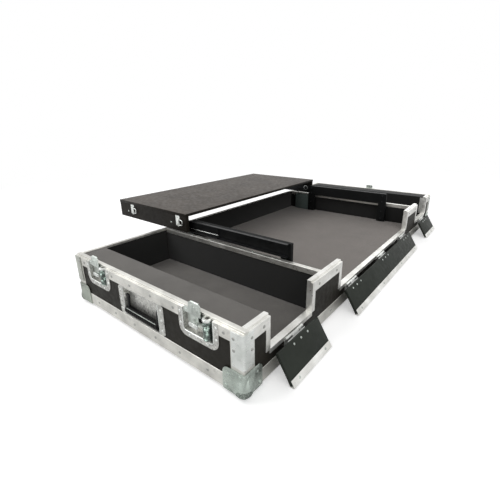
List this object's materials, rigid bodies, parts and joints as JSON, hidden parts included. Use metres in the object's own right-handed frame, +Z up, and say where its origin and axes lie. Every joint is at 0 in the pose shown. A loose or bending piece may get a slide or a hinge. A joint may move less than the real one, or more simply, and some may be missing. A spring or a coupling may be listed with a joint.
{
  "type": "rack case base",
  "caption": "Open base of a long equipment case: dark panels edged in aluminium, drop-down side flaps, divided bays, recessed latches and handle, ball corners and a sliding shelf on runners.",
  "frame": {"origin": "centre of the base panel's underside", "axes": "+X towards the long side with the drop-down flaps, +Y from the end with the carrying handle to the other end, +Z up"},
  "size_m": [0.8728, 1.3606, 0.2038],
  "materials": {
    "edging": "satin anodised",
    "hardware": "zinc plated",
    "panel": "dark laminated plywood",
    "lining": "matt black stain",
    "carpet": "grey needle felt",
    "flap": "dark grey laminate",
    "shelf": "satin brown-grey laminate",
    "grip": "black coated"
  },
  "bodies": {
    "case": {"base_panel": "panel", "near_panel": "panel", "far_panel": "panel", "left_panel": "panel", "right_panel": "panel", "divider_near": "lining", "divider_far": "lining", "divider_cap_near": "edging", "divider_cap_far": "edging", "floor_pad_near": "carpet", "floor_pad_middle": "carpet", "floor_pad_far": "carpet", "end_block_near": "carpet", "end_block_far": "carpet", "end_frame_near": "edging", "end_frame_far": "edging", "bottom_angle_left": "edging", "bottom_angle_right": "edging", "rim_near": "edging", "rim_far": "edging", "rim_left": "edging", "cutout_trim_near": "edging", "cutout_trim_middle": "edging", "cutout_trim_far": "edging", "ball_corner_near_left": "hardware", "ball_corner_near_right": "hardware", "ball_corner_far_left": "hardware", "ball_corner_far_right": "hardware", "latch_near_left_dish": "hardware", "latch_near_right_dish": "hardware", "latch_far_dish": "hardware", "handle_dish": "hardware", "carrier_near": "lining", "carrier_far": "lining", "runner_outer_near": "hardware", "runner_outer_far": "hardware"},
    "flap_near": {"flap_near_panel": "flap", "flap_near_edge": "edging"},
    "flap_middle": {"flap_middle_panel": "flap", "flap_middle_edge": "edging"},
    "flap_far": {"flap_far_panel": "flap", "flap_far_edge": "edging"},
    "near_left_wing": {"latch_near_left_wing": "hardware"},
    "near_left_hook": {"latch_near_left_hook": "hardware"},
    "near_right_wing": {"latch_near_right_wing": "hardware"},
    "near_right_hook": {"latch_near_right_hook": "hardware"},
    "far_wing": {"latch_far_wing": "hardware"},
    "far_hook": {"latch_far_hook": "hardware"},
    "handle": {"handle_bail": "grip"},
    "shelf": {"shelf_board": "shelf", "shelf_skirt_near": "shelf", "shelf_skirt_far": "shelf", "runner_inner_near": "hardware", "runner_inner_far": "hardware", "catch_plate_1": "hardware", "catch_plate_2": "hardware"},
    "middle_runner_near": {"runner_middle_near": "hardware"},
    "middle_runner_far": {"runner_middle_far": "hardware"},
    "loop_1": {"catch_loop_1": "hardware"},
    "loop_2": {"catch_loop_2": "hardware"}
  },
  "joints": [
    {"name": "flap_near_hinge", "type": "hinge", "parent": "case", "child": "flap_near", "pos_m": [0.2934, -0.51875, 0.053], "axis": [0, -1, 0], "range_deg": [0, 148]},
    {"name": "flap_middle_hinge", "type": "hinge", "parent": "case", "child": "flap_middle", "pos_m": [0.2934, 0, 0.053], "axis": [0, -1, 0], "range_deg": [0, 148]},
    {"name": "flap_far_hinge", "type": "hinge", "parent": "case", "child": "flap_far", "pos_m": [0.2934, 0.51875, 0.053], "axis": [0, -1, 0], "range_deg": [0, 148]},
    {"name": "near_left_wing_turn", "type": "hinge", "parent": "case", "child": "near_left_wing", "pos_m": [-0.19309, -0.671, 0.097], "axis": [0, -1, 0], "range_deg": [0, 180]},
    {"name": "near_left_hook_slide", "type": "slide", "parent": "case", "child": "near_left_hook", "axis": [0, 0, 1], "range_m": [-0.008, 0]},
    {"name": "near_right_wing_turn", "type": "hinge", "parent": "case", "child": "near_right_wing", "pos_m": [0.16709, -0.671, 0.097], "axis": [0, -1, 0], "range_deg": [0, 180]},
    {"name": "near_right_hook_slide", "type": "slide", "parent": "case", "child": "near_right_hook", "axis": [0, 0, 1], "range_m": [-0.008, 0]},
    {"name": "far_wing_turn", "type": "hinge", "parent": "case", "child": "far_wing", "pos_m": [0.013, 0.671, 0.097], "axis": [0, 1, 0], "range_deg": [0, 180]},
    {"name": "far_hook_slide", "type": "slide", "parent": "case", "child": "far_hook", "axis": [0, 0, 1], "range_m": [-0.008, 0]},
    {"name": "handle_swing", "type": "hinge", "parent": "case", "child": "handle", "pos_m": [-0.006, -0.6656, 0.082], "axis": [-1, 0, 0], "range_deg": [0, 90], "stiffness_Nm_per_rad": 0.1},
    {"name": "shelf_slide", "type": "slide", "parent": "case", "child": "shelf", "axis": [1, 0, 0], "range_m": [0, 0.355]},
    {"name": "middle_runner_near_slide", "type": "slide", "parent": "case", "child": "middle_runner_near", "axis": [1, 0, 0], "range_m": [0, 0.237]},
    {"name": "middle_runner_far_slide", "type": "slide", "parent": "case", "child": "middle_runner_far", "axis": [1, 0, 0], "range_m": [0, 0.237]},
    {"name": "loop_1_swing", "type": "hinge", "parent": "shelf", "child": "loop_1", "pos_m": [-0.442, -0.3962, 0.167], "axis": [0, 0, -1], "range_deg": [0, 150]},
    {"name": "loop_2_swing", "type": "hinge", "parent": "shelf", "child": "loop_2", "pos_m": [-0.197, -0.3962, 0.167], "axis": [0, 0, -1], "range_deg": [0, 150]}
  ],
  "couplings": [
    {"joint": "near_left_hook_slide", "follows": "near_left_wing_turn", "m_per_rad": -0.0025},
    {"joint": "near_right_hook_slide", "follows": "near_right_wing_turn", "m_per_rad": -0.0025},
    {"joint": "far_hook_slide", "follows": "far_wing_turn", "m_per_rad": -0.0025},
    {"joint": "middle_runner_near_slide", "follows": "shelf_slide", "ratio": 0.6676},
    {"joint": "middle_runner_far_slide", "follows": "shelf_slide", "ratio": 0.6676}
  ]
}
